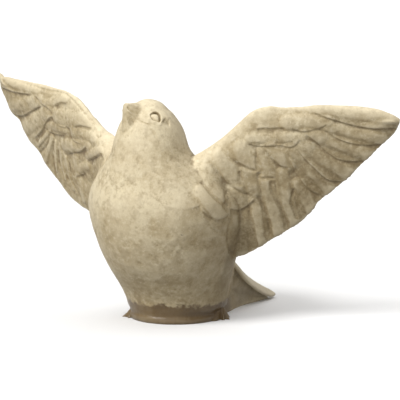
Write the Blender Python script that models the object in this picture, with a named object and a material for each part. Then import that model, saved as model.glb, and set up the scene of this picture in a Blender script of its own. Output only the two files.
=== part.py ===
"""A cast stone dove at life size, with its breast forward, its head lifted and both wings raised.

The bird faces -Y and its left wing reaches out along +X. The origin is the middle of the flat underside.
Body, wings, tail, toes, beak and eyes are one casting, so everything is fused into one closed solid.
Pose and carving are given in parts of the bird's own height, of which there are 270.
"""

import math

import bmesh
import bpy
from mathutils import Matrix, Vector
from mathutils.bvhtree import BVHTree

# Driving sizes, in metres and degrees
HEIGHT = 0.270
BODY_WIDTH = 0.192
BODY_DEPTH = 0.196
FOOT_RADIUS = 0.056
FOOT_LIP = 0.0015
WING_LENGTH = 0.298
WING_SWEEP = 23.3
WING_LEAN = 11.3
ARM_THICKNESS = 0.017
FEATHER_THICKNESS = 0.0105
COVERT_RELIEF = 0.0045
TAIL_LENGTH = 0.096
TAIL_WIDTH = 0.104
TAIL_THICKNESS = 0.0090
BEAK_LENGTH = 0.018
BEAK_DEPTH = 0.026
EYE_RADIUS = 0.0042
EYE_HOLLOW = 0.0035
TOE_THICKNESS = 0.0108
TOE_TOP = 0.011
HEAD_TURN = 20.0
HEAD_LIFT = 32.0

# For each foot, where it comes out of the base and where its toes point, in degrees behind straight out to
# the side, and how long the toes are
FEET = (
    ("left", 13.0, (-30.0, -2.0, 32.0), 0.021),
    ("right", -30.0, (-58.0, -34.0, -8.0), 0.015),
)

# How finely the casting is meshed, and how the skin of a bend is stepped
VOXEL = 0.0018
MOST_TRIANGLES = 9600
BODY_STEPS, ARM_STEPS, FEATHER_STEPS = 44, 30, 12

PART = HEIGHT / 270.0
WING_PART = WING_LENGTH / 298.0

# Body sections: height, shift of the middle along Y, and radius, all in parts of the height
BODY_SECTIONS = (
    (15, 4, 59.0),
    (32, 3, 64.0),
    (53, -5, 71.0),
    (68, -11, 76.5),
    (98, -15, 87.0),
    (127, -15, 95.0),
    (152, -17, 95.0),
    (172, -25, 83.5),
    (187, -42, 66.0),
    (204, -56, 50.5),
    (221, -58, 43.5),
    (235, -58, 38.5),
    (250, -59, 31.0),
    (262, -57.5, 20.5),
    (267, -56, 10.5),
)
WIDEST = 96.0

# The mass of the arm and hand: distance out, leading edge of the left and the right wing, lower edge, and
# how far the front swells
ARM_SECTIONS = (
    (20, -19, -10, -100, 56.0),
    (50, 10, 21, -104, 43.0),
    (66, 21, 29, -100, 33.0),
    (84, 35, 35, -92, 22.0),
    (104, 54, 50, -80, 12.5),
    (122, 70, 65, -64, 9.5),
    (140, 75, 73, -44, 8.5),
    (158, 74, 76, -20, 7.8),
    (180, 75, 77, 12, 7.0),
    (204, 77, 79, 42, 6.0),
    (236, 77, 79, 56, 4.8),
    (268, 72, 79, 58, 4.0),
    (288, 61, 77, 58, 3.0),
)

# Rows of flight feathers for each wing: how many, three points that the roots run through, three that the
# tips run through, and the half widths and the bows of the first and the last feather
FLIGHT_ROWS = {
    "left": (
        (7, ((176, 66), (184, 40), (156, -12)), ((297, 54), (243, -5), (166, -77)), (13.5, 17.5), (-4, 8)),
        (4, ((138, -14), (112, -40), (84, -58)), ((149, -90), (125, -104), (98, -117)), (11.0, 12.0), (2, 2)),
    ),
    "right": (
        (3, ((188, 66), (190, 52), (186, 38)), ((300, 68), (287, 40), (260, 11)), (15.5, 17.0), (0, 5)),
        (4, ((178, 26), (180, 4), (172, -16)), ((245, -18), (223, -36), (196, -55)), (11.0, 11.0), (4, 4)),
        (3, ((162, -16), (140, -24), (116, -30)), ((178, -67), (150, -78), (120, -92)), (13.5, 15.0), (1, 1)),
    ),
}
FEATHER_WEB = 0.985
FEATHER_TILT = math.radians(9.0)

# Covert feathers that lie over the wing: root, tip and half width
COVERTS = {
    "left": (
        ((150, 55), (213, 57), 12.5),
        ((112, 37), (155, 35), 10.0),
        ((148, 36), (186, 42), 10.0),
        ((104, 24), (115, -7), 15.0),
        ((134, 26), (160, -2), 14.0),
        ((80, 10), (104, -34), 15.0),
        ((112, -2), (136, -36), 13.0),
        ((138, -2), (160, -24), 10.0),
        ((92, -24), (108, -60), 12.5),
        ((60, -8), (80, -44), 13.0),
        ((66, -34), (82, -71), 12.0),
    ),
    "right": (
        ((150, 58), (212, 49), 13.0),
        ((128, 44), (194, 38), 14.0),
        ((108, 34), (158, 22), 12.0),
        ((160, 34), (212, 24), 9.0),
        ((112, 22), (158, 10), 12.0),
        ((140, 14), (182, -10), 12.0),
        ((100, 12), (130, -12), 12.0),
        ((120, -4), (162, -34), 14.0),
    ),
}

# The way that the front coverts are laid from, and how far off the wing's plane front and back ones may lie
FRONT_WAY = Vector((0.494, -0.855, 0.156))
FRONT_REACH, BACK_REACH = 0.100, 0.020

# The head: middle and half sizes of the skull, tip of the beak, and the way to an eye
HEAD_MIDDLE = Vector((-1.3, -60.0, 244.2)) * PART
SKULL_LONG, SKULL_WIDE, SKULL_TALL = 27.2 * PART, 23.2 * PART, 24.2 * PART
BEAK_TIP = Vector((-12.9, -93.2, 267.6)) * PART
EYE_AHEAD, EYE_ASIDE = 0.46, 0.89
EYE_REACH = 24.3 * PART

# Where both wings' planes start, in the middle of the back
SHOULDER = Vector((0.0, -61.0, 192.0)) * PART


def mix(a, b, t):
    return a + (b - a) * t


def rows_at(rows, x):
    """Read smooth values at x from rows that start with their own x."""
    last = len(rows) - 1
    k = 0
    while k < last - 1 and x > rows[k + 1][0]:
        k += 1
    before, here, there, after = (rows[min(max(i, 0), last)] for i in (k - 1, k, k + 1, k + 2))
    span = there[0] - here[0]
    t = (x - here[0]) / span
    values = []
    for p, a, b, n in zip(before[1:], here[1:], there[1:], after[1:]):
        slope_a = (b - p) / max(there[0] - before[0], span) * span
        slope_b = (n - a) / max(after[0] - here[0], span) * span
        values.append(
            a * (2 * t**3 - 3 * t**2 + 1)
            + slope_a * (t**3 - 2 * t**2 + t)
            + b * (3 * t**2 - 2 * t**3)
            + slope_b * (t**3 - t**2)
        )
    return values


def through(points, t):
    """A point at t on the parabola that runs through three points."""
    a, b, c = (Vector(p) for p in points)
    return a * (2 * t - 1) * (t - 1) + b * 4 * t * (1 - t) + c * t * (2 * t - 1)


def skin(bm, places, segments):
    """Extrude a ring along a row of places, each of which turns a unit circle's point into one in space."""
    unit = bm.verts.layers.float_vector.get("unit") or bm.verts.layers.float_vector.new("unit")
    ring = bmesh.ops.create_circle(bm, cap_ends=True, radius=1.0, segments=segments)["verts"]
    for vert in ring:
        vert[unit] = vert.co
    edges = list({edge for vert in ring for edge in vert.link_edges})
    for step, place in enumerate(places):
        if step:
            made = bmesh.ops.extrude_edge_only(bm, edges=edges)["geom"]
            ring = [item for item in made if isinstance(item, bmesh.types.BMVert)]
            edges = [item for item in made if isinstance(item, bmesh.types.BMEdge)]
            edges = [edge for edge in edges if all(vert in ring for vert in edge.verts)]
        for vert in ring:
            vert.co = place(vert[unit].x, vert[unit].y)
    bmesh.ops.contextual_create(bm, geom=edges)


def clay(name, build):
    """Make an object from a function that fills a bmesh."""
    bm = bmesh.new()
    build(bm)
    bmesh.ops.recalc_face_normals(bm, faces=bm.faces)
    mesh = bpy.data.meshes.new(name)
    bm.to_mesh(mesh)
    bm.free()
    obj = bpy.data.objects.new(name, mesh)
    bpy.context.collection.objects.link(obj)
    return obj


def apply_modifiers(obj):
    """Replace an object's mesh by what its modifiers make of it."""
    graph = bpy.context.evaluated_depsgraph_get()
    mesh = bpy.data.meshes.new_from_object(obj.evaluated_get(graph))
    obj.modifiers.clear()
    old = obj.data
    obj.data = mesh
    bpy.data.meshes.remove(old)


def fuse(obj, voxel, smooth_steps):
    """Turn shapes that run through each other into one skin, as wet clay pressed together."""
    remesh = obj.modifiers.new("fuse", "REMESH")
    remesh.mode = "VOXEL"
    remesh.voxel_size = voxel
    smooth = obj.modifiers.new("soften", "SMOOTH")
    smooth.factor = 0.5
    smooth.iterations = smooth_steps
    apply_modifiers(obj)


def body_point(height, x, y):
    """A point of the body's skin at a height, for a point of the unit circle."""
    shift, radius = rows_at(BODY_SECTIONS, height)
    if height <= BODY_SECTIONS[0][0]:
        half_width = half_depth = radius * PART
    else:
        half_width = radius / WIDEST * BODY_WIDTH / 2
        half_depth = radius / WIDEST * BODY_DEPTH / 2
    return Vector((x * half_width, shift * PART + y * half_depth, height * PART))


def build_body(bm):
    lip = (
        (-0.010, FOOT_RADIUS - FOOT_LIP),
        (0.0, FOOT_RADIUS - FOOT_LIP),
        (0.0020, FOOT_RADIUS),
        (0.0060, FOOT_RADIUS),
        (0.0090, FOOT_RADIUS - FOOT_LIP),
    )
    places = [lambda x, y, z=z, r=r: Vector((x * r, y * r, z)) for z, r in lip]
    low, high = BODY_SECTIONS[0][0], BODY_SECTIONS[-1][0]
    for k in range(BODY_STEPS + 1):
        height = mix(low, high, k / BODY_STEPS)
        places.append(lambda x, y, h=height: body_point(h, x, y))
    skin(bm, places, 64)


def head_frame():
    """The beak's direction, the way out of the left cheek, and the way up from the beak."""
    turn, lift = math.radians(HEAD_TURN), math.radians(HEAD_LIFT)
    flat = Vector((-math.sin(turn), -math.cos(turn), 0.0))
    side = Vector((math.cos(turn), -math.sin(turn), 0.0))
    ahead = flat * math.cos(lift) + Vector((0, 0, 1)) * math.sin(lift)
    return ahead, side, side.cross(ahead) * -1


def build_head(bm):
    """A skull, longer along the beak than it is wide, over the round of the neck."""
    ahead, side, up = head_frame()
    made = bmesh.ops.create_uvsphere(bm, u_segments=32, v_segments=20, radius=1.0)
    for vert in made["verts"]:
        x, y, z = vert.co
        vert.co = HEAD_MIDDLE + ahead * (x * SKULL_LONG) + side * (y * SKULL_WIDE) + up * (z * SKULL_TALL)


def build_beak(bm):
    """A stout beak in two halves, the upper one longer and hooked a little over the lower one."""
    ahead, side, up = head_frame()
    steps = 9
    for half_depth, reach, offset in ((0.32, 0.0, 0.0), (0.26, 0.16, -0.52)):
        places = []
        for k in range(steps):
            t = k / (steps - 1)
            back = BEAK_LENGTH * mix(1.6, reach, t)
            grow = min(back / BEAK_LENGTH, 1.25) ** 0.75
            tall = 1.1 * PART + BEAK_DEPTH * half_depth * grow
            wide = 1.3 * PART + BEAK_DEPTH * 0.38 * grow
            middle = BEAK_TIP - ahead * back + up * (offset * BEAK_DEPTH * grow - tall * 0.5)

            def place(x, y, m=middle, w=wide, h=tall):
                return m + side * (x * w) + up * (y * h)

            places.append(place)
        skin(bm, places, 20)


def side_sign(side):
    return 1.0 if side == "left" else -1.0


def wing_frame(side):
    """The way out along a wing, the way up its face, and the way out of its back."""
    sign = side_sign(side)
    sweep, lean = math.radians(WING_SWEEP), math.radians(WING_LEAN)
    out = Vector((sign * math.cos(sweep), math.sin(sweep), 0.0))
    level = Vector((-sign * math.sin(sweep), math.cos(sweep), 0.0))
    up = Vector((0, 0, math.cos(lean))) - level * math.sin(lean)
    back = level * math.cos(lean) + Vector((0, 0, math.sin(lean)))
    return out, up, back


def wing_point(side, u, v, w=0.0):
    """A point by its distance out along a wing, up its face, and behind it, in wing parts."""
    out, up, back = wing_frame(side)
    return SHOULDER + (out * u + up * v + back * w) * WING_PART


def build_arm(bm, side):
    """The arm and hand: thick and round at the leading edge, thin where the feathers come out."""
    low, high = ARM_SECTIONS[0][0], ARM_SECTIONS[-1][0]
    places = []
    for k in range(ARM_STEPS + 1):
        u = mix(low, high, k / ARM_STEPS)
        lead, lead_right, lower, swell = rows_at(ARM_SECTIONS, u)
        if side == "right":
            lead = lead_right
            lower = mix(lower, lower + 22, min(max((150 - u) / 60, 0), 1))
        back = min(swell, ARM_THICKNESS / 2 / WING_PART)

        def place(x, y, u=u, lead=lead, lower=lower, front=swell, back=back):
            chord = (1 - x) / 2
            fade = 1 - 0.55 * chord
            reach = (front * -1 if y < 0 else back) * abs(y) ** 0.8 * fade
            return wing_point(side, u, mix(lead, lower, chord), reach)

        places.append(place)
    skin(bm, places, 32)


def feather_width(t):
    """How wide a feather is along its length, as a share of its widest."""
    if t < 0.80:
        return mix(0.60, 1.0, math.sin(t / 0.80 * math.pi / 2))
    return max(1 - ((t - 0.80) / 0.205) ** 3, 0.0) ** (1 / 3)


def build_feather(bm, middle, ahead, normal, half_width, half_thick, tilt):
    """A blade with a rounded tip. middle, ahead and normal are functions of the share of its length."""
    places = []
    for k in range(FEATHER_STEPS + 1):
        t = k / FEATHER_STEPS
        across = ahead(t).cross(normal(t)).normalized()
        out = across.cross(ahead(t)).normalized()
        turned = Matrix.Rotation(tilt, 3, ahead(t).normalized())
        across, out = turned @ across, turned @ out
        wide = half_width * feather_width(t)
        thick = half_thick * mix(1.0, 0.55, t) * min(1.0, math.sqrt((1.03 - t) / 0.15))

        def place(x, y, m=middle(t), a=across * wide, o=out * thick):
            return m + a * x + o * y

        places.append(place)
    skin(bm, places, 14)


def build_web(bm, side):
    """The vanes under the flight feathers run together most of the way to the tips."""
    back = wing_frame(side)[2] * FEATHER_THICKNESS * 0.28
    roots = [Vector(end) for row in FLIGHT_ROWS[side] for end in row[1]]
    tips = [Vector(end) for row in FLIGHT_ROWS[side] for end in row[2]]
    places = []
    for root, tip in zip(roots, tips):
        far = root.lerp(tip, FEATHER_WEB)

        def place(x, y, near=root, far=far):
            spot = near.lerp(far, mix(-0.22, 1.0, (x + 1) / 2))
            return wing_point(side, spot.x, spot.y) + back * y

        places.append(place)
    skin(bm, places, 24)


def build_flight_feathers(bm, side):
    """Each row's feathers fan out from the arm to the trailing edge."""
    back = wing_frame(side)[2]
    tilt = FEATHER_TILT * side_sign(side)
    for count, roots, tips, widths, bows in FLIGHT_ROWS[side]:
        for k in range(count):
            t = k / (count - 1)
            root, tip = through(roots, t), through(tips, t)
            half_width = mix(widths[0], widths[1], t) * WING_PART
            along = tip - root
            bend = Vector((along.y, -along.x)).normalized() * mix(bows[0], bows[1], math.sqrt(t))

            def middle(s, root=root, tip=tip, bend=bend):
                place = root.lerp(tip, s) + bend * (4 * s * (1 - s))
                return wing_point(side, place.x, place.y, -1.0)

            def ahead(s, middle=middle):
                return middle(min(s + 0.02, 1.0)) - middle(max(s - 0.02, 0.0))

            build_feather(bm, middle, ahead, lambda s: back, half_width, FEATHER_THICKNESS / 2, tilt)


def lay_covert(bm, surface, half_width, relief, tilt):
    """A short feather along a row of surface points, rising from its root to its tip."""

    def read(s, column):
        x = s * (len(surface) - 1)
        k = min(int(x), len(surface) - 2)
        return surface[k][column].lerp(surface[k + 1][column], x - k)

    def middle(s):
        return read(s, 0) + read(s, 1) * relief * (0.60 * s - 0.35)

    def ahead(s):
        return middle(min(s + 0.15, 1.0)) - middle(max(s - 0.15, 0.0))

    build_feather(bm, middle, ahead, lambda s: read(s, 1), half_width, relief * 0.8, tilt)


def build_coverts(bm, side, tree):
    """Short feathers laid over the wing, front and back, each following the surface under it."""
    front = (FRONT_WAY, FRONT_REACH, COVERT_RELIEF)
    back = (wing_frame(side)[2], BACK_REACH, COVERT_RELIEF * 0.7)
    steps = 8
    for way, reach, relief in (front, back):
        for root, tip, half_width in COVERTS[side]:
            surface = []
            for k in range(steps + 1):
                place = Vector(root).lerp(Vector(tip), k / steps)
                spot = wing_point(side, place.x, place.y)
                hit, normal, _, _ = tree.ray_cast(spot + way * HEIGHT, -way)
                if hit is not None and (hit - spot).length < reach:
                    surface.append((hit, normal))
            if len(surface) >= steps:
                lay_covert(bm, surface, half_width * WING_PART, relief, 0.08 * side_sign(side))


def build_tail(bm):
    """A wedge of rump with a fan of tail feathers over it, sloping back and down to the floor."""
    start = 56 * PART
    end = 66 * PART + TAIL_LENGTH
    root_top = 78 * PART

    def blade_middle(t):
        return mix(root_top, TAIL_THICKNESS, t**0.72) - TAIL_THICKNESS / 2

    rump = []
    steps = 10
    for k in range(steps + 1):
        t = k / steps
        y = mix(start, end - 0.004, t)
        half = mix(0.78, 0.98, t**1.5) * TAIL_WIDTH / 2

        def place(a, b, y=y, top=blade_middle(t), half=half):
            square = Vector((math.copysign(abs(a) ** 0.3, a), math.copysign(abs(b) ** 0.3, b)))
            return Vector((square.x * half, y, mix(-0.003, top, (square.y + 1) / 2)))

        rump.append(place)
    skin(bm, rump, 28)
    count = 7
    for k in range(count):
        side = mix(-1.0, 1.0, k / (count - 1))

        def middle(s, side=side):
            x = side * mix(0.62, 0.80, s) * TAIL_WIDTH / 2
            crown = mix(7, 2, s) * PART * (1 - side * side)
            y = mix(start, end + 9 * PART * (1 - side * side), s)
            return Vector((x, y, blade_middle(s) + crown))

        def ahead(s, middle=middle):
            return middle(min(s + 0.05, 1.0)) - middle(max(s - 0.05, 0.0))

        def normal(s, side=side):
            return Vector((side * mix(1.1, 0.35, s), 0.3, 1.0)).normalized()

        build_feather(bm, middle, ahead, normal, TAIL_WIDTH / 7.2, TAIL_THICKNESS / 2, 0.0)


def build_toes(bm):
    """Toes that show at the base's edge under each side of the bird, flat on the floor."""
    steps = 6
    for side, foot, spreads, length in FEET:
        out = math.radians(foot)
        sign = side_sign(side)
        root = Vector((sign * math.cos(out), math.sin(out), 0.0)) * (FOOT_RADIUS - 0.007)
        for spread in spreads:
            angle = math.radians(spread)
            way = Vector((sign * math.cos(angle), math.sin(angle), 0.0))
            across = Vector((-way.y, way.x, 0.0))
            places = []
            for k in range(steps + 1):
                t = k / steps
                thick = TOE_THICKNESS / 2 * (1.0 - 0.5 * t)
                height = mix(TOE_TOP, thick * 0.7, t**0.8)
                middle = root + way * (length * t) + Vector((0, 0, height))
                places.append(lambda x, y, m=middle, r=thick, a=across: m + a * (x * r) + Vector((0, 0, y * r)))
            skin(bm, places, 12)


def build_eyes(bm):
    for sign in (1, -1):
        made = bmesh.ops.create_uvsphere(bm, u_segments=16, v_segments=10, radius=EYE_RADIUS)
        bmesh.ops.translate(bm, verts=made["verts"], vec=eye_middle(sign) - eye_way(sign) * (EYE_RADIUS * 0.75))


def eye_way(sign):
    ahead, side, _ = head_frame()
    return (ahead * EYE_AHEAD + side * (sign * EYE_ASIDE)).normalized()


def eye_middle(sign):
    """Where an eye sits on the skull."""
    return HEAD_MIDDLE + eye_way(sign) * EYE_REACH


def press_eye_hollows(obj):
    """Press a shallow almond into each side of the head."""
    ahead = head_frame()[0]
    for sign in (1, -1):
        centre, way = eye_middle(sign), eye_way(sign)
        along = (ahead - way * ahead.dot(way)).normalized()
        high = way.cross(along)
        for vert in obj.data.vertices:
            offset = vert.co - centre
            distance = math.hypot(offset.dot(along) / 7.0, offset.dot(high) / 5.5) / PART
            if distance < 1.0 and abs(offset.dot(way)) < 12 * PART:
                vert.co -= way * EYE_HOLLOW * (1 - distance**2)


def stone():
    """Pale cast stone, buff to cream, dull all over."""
    material = bpy.data.materials.new("cast_stone")
    material.use_nodes = True
    shader = material.node_tree.nodes["Principled BSDF"]
    shader.inputs["Base Color"].default_value = (0.52, 0.44, 0.30, 1.0)
    shader.inputs["Roughness"].default_value = 0.75
    shader.inputs["Metallic"].default_value = 0.0
    return material


def cut_flat(obj):
    """Saw the casting off flat at the floor, so that it stands on a true face."""
    size = 4 * HEIGHT

    def block(bm):
        bmesh.ops.create_cube(bm, size=size)
        bmesh.ops.translate(bm, verts=bm.verts, vec=(0, 0, -size / 2))

    saw = clay("floor_cut", block)
    saw.hide_render = True
    saw.display_type = "WIRE"
    cut = obj.modifiers.new("floor", "BOOLEAN")
    cut.operation = "DIFFERENCE"
    cut.solver = "EXACT"
    cut.object = saw


def join(target, others):
    """Put the meshes of others into target, unfused."""
    bm = bmesh.new()
    bm.from_mesh(target.data)
    for other in others:
        bm.from_mesh(other.data)
        bpy.data.objects.remove(other)
    bm.to_mesh(target.data)
    bm.free()


def make_dove():
    dove = clay("dove", build_body)
    masses = [clay("head", build_head)]
    masses += [clay("arm", lambda bm, s=side: build_arm(bm, s)) for side in ("left", "right")]
    join(dove, masses)
    fuse(dove, VOXEL, 6)
    press_eye_hollows(dove)
    tree = BVHTree.FromObject(dove, bpy.context.evaluated_depsgraph_get())
    details = [clay(build.__name__[6:], build) for build in (build_tail, build_toes, build_eyes, build_beak)]
    for side in ("left", "right"):
        details.append(clay("web", lambda bm, s=side: build_web(bm, s)))
        details.append(clay("flight", lambda bm, s=side: build_flight_feathers(bm, s)))
        details.append(clay("coverts", lambda bm, s=side: build_coverts(bm, s, tree)))
    join(dove, details)
    fuse(dove, VOXEL, 1)
    thin = dove.modifiers.new("fewer_faces", "DECIMATE")
    dove.data.calc_loop_triangles()
    thin.ratio = min(1.0, MOST_TRIANGLES / len(dove.data.loop_triangles))
    apply_modifiers(dove)
    dove.data.materials.clear()
    dove.data.materials.append(stone())
    dove.data.shade_smooth()
    cut_flat(dove)


def main():
    for obj in list(bpy.data.objects):
        bpy.data.objects.remove(obj)
    make_dove()


main()
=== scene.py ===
# %% [markdown]
# # A cast stone dove with its wings raised
#
# The statue is one casting. Its maker modelled it in clay, so it is built here in the same order: rough
# lumps of clay, pressed together into one skin, then carved, then given its stone finish.
# The solid model already says where everything is and how big, and this script dresses it. The drawings
# below are in millimetres, and `MM` turns them into the solid's own metres.

# %% Load the frame and its size
import math

import bmesh
import bpy
import numpy as np
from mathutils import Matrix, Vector, noise


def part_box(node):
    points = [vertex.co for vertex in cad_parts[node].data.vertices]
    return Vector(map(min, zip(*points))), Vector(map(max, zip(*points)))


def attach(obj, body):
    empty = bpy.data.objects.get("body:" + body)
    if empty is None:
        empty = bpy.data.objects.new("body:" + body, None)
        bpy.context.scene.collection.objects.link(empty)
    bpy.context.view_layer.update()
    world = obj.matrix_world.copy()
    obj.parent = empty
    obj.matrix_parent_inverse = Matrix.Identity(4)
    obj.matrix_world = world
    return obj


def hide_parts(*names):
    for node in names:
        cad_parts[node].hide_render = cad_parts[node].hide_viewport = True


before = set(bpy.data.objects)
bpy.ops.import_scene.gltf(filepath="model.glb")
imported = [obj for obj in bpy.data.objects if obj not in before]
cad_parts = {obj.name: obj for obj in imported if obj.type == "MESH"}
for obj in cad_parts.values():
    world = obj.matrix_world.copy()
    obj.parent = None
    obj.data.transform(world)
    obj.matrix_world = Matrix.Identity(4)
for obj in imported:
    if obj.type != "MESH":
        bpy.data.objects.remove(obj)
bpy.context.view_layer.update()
node_low, node_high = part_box("dove")
HEIGHT = node_high.z - node_low.z
DRAWN_HEIGHT = 271.92
MM = HEIGHT / DRAWN_HEIGHT
print("statue height", round(HEIGHT * 1000, 1), "mm")

# %% [markdown]
# ## Helpers for clay
#
# Two small helpers serve the whole statue. One blends two values, and one gives a soft step from 0 to 1,
# which is how a hand lets one form fade into the next.

# %% Blend and soft step
def mix(a, b, t):
    return a + (b - a) * t


def soft_step(low, high, x):
    """0 below low, 1 above high, and a smooth ramp between. It takes numbers or arrays."""
    t = np.clip((x - low) / (high - low), 0.0, 1.0)
    return t * t * (3 - 2 * t)


print("a quarter of the way, a soft step is at", soft_step(0, 1, 0.25))

# %% [markdown]
# A sculptor's section drawings are rows of numbers: a few heights, and how wide the body is at each.
# `read_rows` reads a smooth curve through such rows, and `curve_through` runs one through a few points.

# %% Section rows
def read_rows(rows, x):
    """Smooth values at x from rows that start with their own x."""
    last = len(rows) - 1
    k = 0
    while k < last - 1 and x > rows[k + 1][0]:
        k += 1
    before, here, there, after = (rows[min(max(i, 0), last)] for i in (k - 1, k, k + 1, k + 2))
    span = there[0] - here[0]
    t = (x - here[0]) / span
    values = []
    for p, a, b, n in zip(before[1:], here[1:], there[1:], after[1:]):
        slope_a = (b - p) / max(there[0] - before[0], span) * span
        slope_b = (n - a) / max(after[0] - here[0], span) * span
        values.append(
            a * (2 * t**3 - 3 * t**2 + 1)
            + slope_a * (t**3 - 2 * t**2 + t)
            + b * (3 * t**2 - 2 * t**3)
            + slope_b * (t**3 - t**2)
        )
    return values


def curve_through(points, steps):
    """Many points on a smooth curve through a few."""
    rows = [(k, *point) for k, point in enumerate(points)]
    last = len(points) - 1
    return np.array([read_rows(rows, last * k / steps) for k in range(steps + 1)])


print("halfway from a row with 0 to a row with 10:", read_rows(((0, 0), (1, 10)), 0.5)[0])

# %% [markdown]
# A lump of clay is a ring that is pulled along a path and closed at its ends. Blender's bmesh can do that
# with `create_circle` and `extrude_edge_only`. Each new ring is then moved to its place by a small
# function, so one helper makes the body, a wing's arm, a feather and a toe.

# %% Pull a ring of clay along a row of places
def pull_ring(bm, places, segments):
    """Extrude a ring along a row of places, each of which turns a unit circle's point into one in space."""
    unit = bm.verts.layers.float_vector.get("unit") or bm.verts.layers.float_vector.new("unit")
    ring = bmesh.ops.create_circle(bm, cap_ends=True, radius=1.0, segments=segments)["verts"]
    for vert in ring:
        vert[unit] = vert.co
    edges = list({edge for vert in ring for edge in vert.link_edges})
    for step, place in enumerate(places):
        if step:
            made = bmesh.ops.extrude_edge_only(bm, edges=edges)["geom"]
            ring = [item for item in made if isinstance(item, bmesh.types.BMVert)]
            edges = [item for item in made if isinstance(item, bmesh.types.BMEdge)]
            edges = [edge for edge in edges if all(vert in ring for vert in edge.verts)]
        for vert in ring:
            vert.co = place(vert[unit].x, vert[unit].y)
    bmesh.ops.contextual_create(bm, geom=edges)


clay = bmesh.new()
print("an empty lump of clay is ready")

# %% [markdown]
# ## The body
#
# The bird stands like a vase: a round foot with a thin lip, a waist, a full breast, and a neck that leans
# forward. It could be turned on a lathe, but the middle shifts back and forth with height, so it is a row
# of rings instead. Each row below is a height, how far the ring's middle lies behind the origin, and its
# radius, in millimetres.

# %% Body and foot
BODY_SECTIONS = (
    (15, 4, 59.0),
    (32, 3, 64.0),
    (53, -5, 71.0),
    (68, -11, 76.5),
    (98, -15, 87.0),
    (127, -15, 95.0),
    (152, -17, 95.0),
    (172, -25, 83.5),
    (187, -42, 65.0),
    (204, -56, 48.5),
    (221, -58, 42.8),
    (235, -58, 38.5),
    (250, -59.5, 30.0),
    (262, -59.5, 18.5),
    (267, -60, 8.0),
)
LOWEST, HIGHEST = BODY_SECTIONS[0][0], BODY_SECTIONS[-1][0]
FOOT_RADIUS, FOOT_LIP = 56.0, 1.5
BODY_DEPTH = 1.02


def body_ring(height):
    """A ring that is evened out with those a little below and above it."""
    heights = [min(max(height + apart, LOWEST), HIGHEST) for apart in (-7, 0, 7)]
    below, here, above = (np.array(read_rows(BODY_SECTIONS, h)) for h in heights)
    shift, radius = (below + 2 * here + above) / 4
    deep = radius * mix(1.0, BODY_DEPTH, soft_step(15, 40, height))
    return lambda x, y: Vector((x * radius, shift + y * deep, height)) * MM


def foot_ring(height, radius):
    return lambda x, y: Vector((x * radius, y * radius, height)) * MM


foot = ((-10, -FOOT_LIP), (0, -FOOT_LIP), (2, 0), (6, 0), (9, -FOOT_LIP))
rings = [foot_ring(height, FOOT_RADIUS + out) for height, out in foot]
rings += [body_ring(mix(LOWEST, HIGHEST, k / 60)) for k in range(61)]
pull_ring(clay, rings, 96)
print("body rings:", len(rings))

# %% [markdown]
# ## The head
#
# A dove's skull is a ball, a little longer towards the beak. This one is turned to the bird's right and
# lifted, so its own three directions are worked out first: ahead along the beak, out of the left cheek,
# and up. Everything on the head is then placed along those, which keeps both sides alike.

# %% Skull
HEAD_TURN, HEAD_LIFT = math.radians(20.0), math.radians(32.0)
HEAD_MIDDLE = Vector((-1.3, -60.0, 244.2))
SKULL = (30.6, 23.4, 26.0)
SKULL_BACK, SKULL_UP = 3.6, 0.4
level_ahead = Vector((-math.sin(HEAD_TURN), -math.cos(HEAD_TURN), 0.0))
AHEAD = level_ahead * math.cos(HEAD_LIFT) + Vector((0, 0, 1)) * math.sin(HEAD_LIFT)
CHEEK = Vector((math.cos(HEAD_TURN), -math.sin(HEAD_TURN), 0.0))
CROWN = AHEAD.cross(CHEEK)

skull = bmesh.ops.create_uvsphere(clay, u_segments=48, v_segments=32, radius=1.0)["verts"]
middle = HEAD_MIDDLE - AHEAD * SKULL_BACK + CROWN * SKULL_UP
for vert in skull:
    x, y, z = vert.co
    vert.co = (middle + AHEAD * x * SKULL[0] + CHEEK * y * SKULL[1] + CROWN * z * SKULL[2]) * MM
print("skull points:", len(skull))

# %% [markdown]
# ## The wings
#
# Each wing is a flat slab that is swept back and leans forward at the top. It has its own drawing: u runs
# out along the wing and v runs up its face, both in millimetres from the middle of the back. All feathers
# are given in that drawing, and `wing_place` turns a point of the drawing into one in space.

# %% The drawing of a wing
WING_SWEEP, WING_LEAN = math.radians(23.3), math.radians(11.3)
SHOULDER = Vector((0.0, -61.0, 192.0))
SIDES = {"left": 1.0, "right": -1.0}


def wing_ways(side):
    """Out along the wing, up its face, and out of its back."""
    sign = SIDES[side]
    out = Vector((sign * math.cos(WING_SWEEP), math.sin(WING_SWEEP), 0.0))
    level = Vector((-sign * math.sin(WING_SWEEP), math.cos(WING_SWEEP), 0.0))
    up = Vector((0, 0, math.cos(WING_LEAN))) - level * math.sin(WING_LEAN)
    back = level * math.cos(WING_LEAN) + Vector((0, 0, math.sin(WING_LEAN)))
    return out, up, back


def wing_place(side, u, v, w=0.0):
    out, up, back = wing_ways(side)
    return SHOULDER + out * u + up * v + back * w


print("wing tip at", [round(c, 1) for c in wing_place("left", 298, 60)], "mm")

# %% [markdown]
# The arm is the wing's thick leading part, round in front and thin where the feathers leave it. Its rows
# say how far out a section is, where its upper edge lies on the left and on the right wing, where its
# lower edge lies, and how far its front swells.

# %% Arms
ARM_SECTIONS = (
    (20, -19, -10, -100, 56.0),
    (50, 10, 21, -104, 43.0),
    (66, 20, 29, -100, 33.0),
    (84, 33, 35, -92, 22.0),
    (104, 51, 50, -80, 16.0),
    (122, 68, 65, -70, 13.5),
    (140, 75, 73, -60, 12.5),
    (158, 74, 76, -46, 11.5),
    (180, 75, 77, -22, 10.5),
    (204, 77, 79, 6, 9.5),
    (236, 77, 79, 30, 8.0),
    (268, 74, 80, 44, 6.5),
    (286, 67, 81, 48, 5.0),
    (295, 61, 79, 55, 3.0),
)
ARM_BACK = 8.5
RIGHT_LIFT, LIFT_ENDS, LIFT_FADES = 22, 150, 60


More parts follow.
